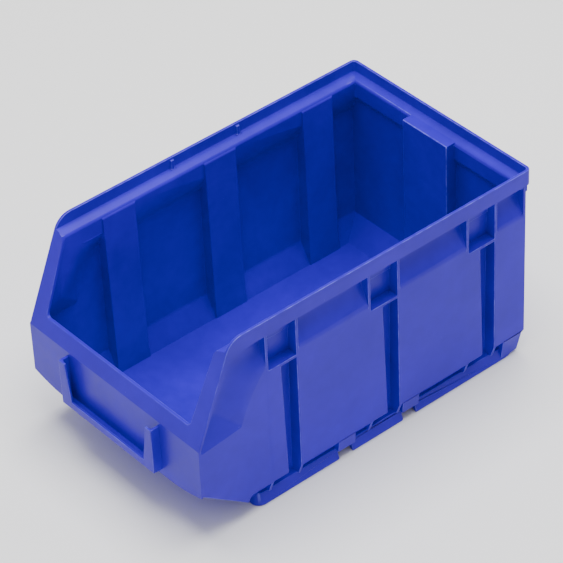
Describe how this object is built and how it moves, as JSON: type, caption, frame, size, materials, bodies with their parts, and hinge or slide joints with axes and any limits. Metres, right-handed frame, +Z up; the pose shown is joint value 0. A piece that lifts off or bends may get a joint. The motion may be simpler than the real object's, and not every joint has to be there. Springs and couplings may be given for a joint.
{
  "type": "stackable storage bin",
  "caption": "Open-fronted stacking storage bin with a sloping cut-down front, label holder, ribbed side walls, stacking rim, rear hanging lip and raised foot ring.",
  "frame": {"origin": "centre of the footprint's bounding box, on the surface that the bin stands on", "axes": "+Z up, +Y from the open front to the rear wall, +X to the right when the bin is seen from its front"},
  "size_m": [0.148, 0.25, 0.13],
  "materials": {
    "blue_polypropylene": "satin, injection moulded"
  },
  "bodies": {
    "root": {"floor_plate": "blue_polypropylene", "foot_front": "blue_polypropylene", "foot_rail_front_left": "blue_polypropylene", "foot_rail_front_right": "blue_polypropylene", "foot_rail_middle_left": "blue_polypropylene", "foot_rail_middle_right": "blue_polypropylene", "foot_rail_rear_left": "blue_polypropylene", "foot_rail_rear_right": "blue_polypropylene", "foot_rear": "blue_polypropylene", "front_corner_panel_left": "blue_polypropylene", "front_corner_panel_right": "blue_polypropylene", "front_flange_left": "blue_polypropylene", "front_flange_right": "blue_polypropylene", "front_lip": "blue_polypropylene", "front_shoulder_left": "blue_polypropylene", "front_shoulder_right": "blue_polypropylene", "front_underside": "blue_polypropylene", "front_wall": "blue_polypropylene", "label_holder_bottom": "blue_polypropylene", "label_holder_side_left": "blue_polypropylene", "label_holder_side_right": "blue_polypropylene", "post_front_face_left": "blue_polypropylene", "post_front_face_right": "blue_polypropylene", "post_front_front_rib_left": "blue_polypropylene", "post_front_front_rib_right": "blue_polypropylene", "post_front_rear_rib_left": "blue_polypropylene", "post_front_rear_rib_right": "blue_polypropylene", "post_middle_face_left": "blue_polypropylene", "post_middle_face_right": "blue_polypropylene", "post_middle_front_rib_left": "blue_polypropylene", "post_middle_front_rib_right": "blue_polypropylene", "post_middle_rear_rib_left": "blue_polypropylene", "post_middle_rear_rib_right": "blue_polypropylene", "post_rear_face_left": "blue_polypropylene", "post_rear_face_right": "blue_polypropylene", "post_rear_front_rib_left": "blue_polypropylene", "post_rear_front_rib_right": "blue_polypropylene", "post_rear_rear_rib_left": "blue_polypropylene", "post_rear_rear_rib_right": "blue_polypropylene", "rear_panel_left": "blue_polypropylene", "rear_panel_right": "blue_polypropylene", "rear_post": "blue_polypropylene", "rear_ramp": "blue_polypropylene", "rear_rim_ledge": "blue_polypropylene", "rear_rim_lip": "blue_polypropylene", "rim_ledge_left": "blue_polypropylene", "rim_ledge_right": "blue_polypropylene", "rim_lip_left": "blue_polypropylene", "rim_lip_right": "blue_polypropylene", "side_panel_front_left": "blue_polypropylene", "side_panel_front_right": "blue_polypropylene", "side_panel_middle_left": "blue_polypropylene", "side_panel_middle_right": "blue_polypropylene", "side_panel_rear_left": "blue_polypropylene", "side_panel_rear_right": "blue_polypropylene", "stacking_pip_front_left": "blue_polypropylene", "stacking_pip_front_right": "blue_polypropylene", "stacking_pip_rear_left": "blue_polypropylene", "stacking_pip_rear_right": "blue_polypropylene"}
  },
  "joints": []
}
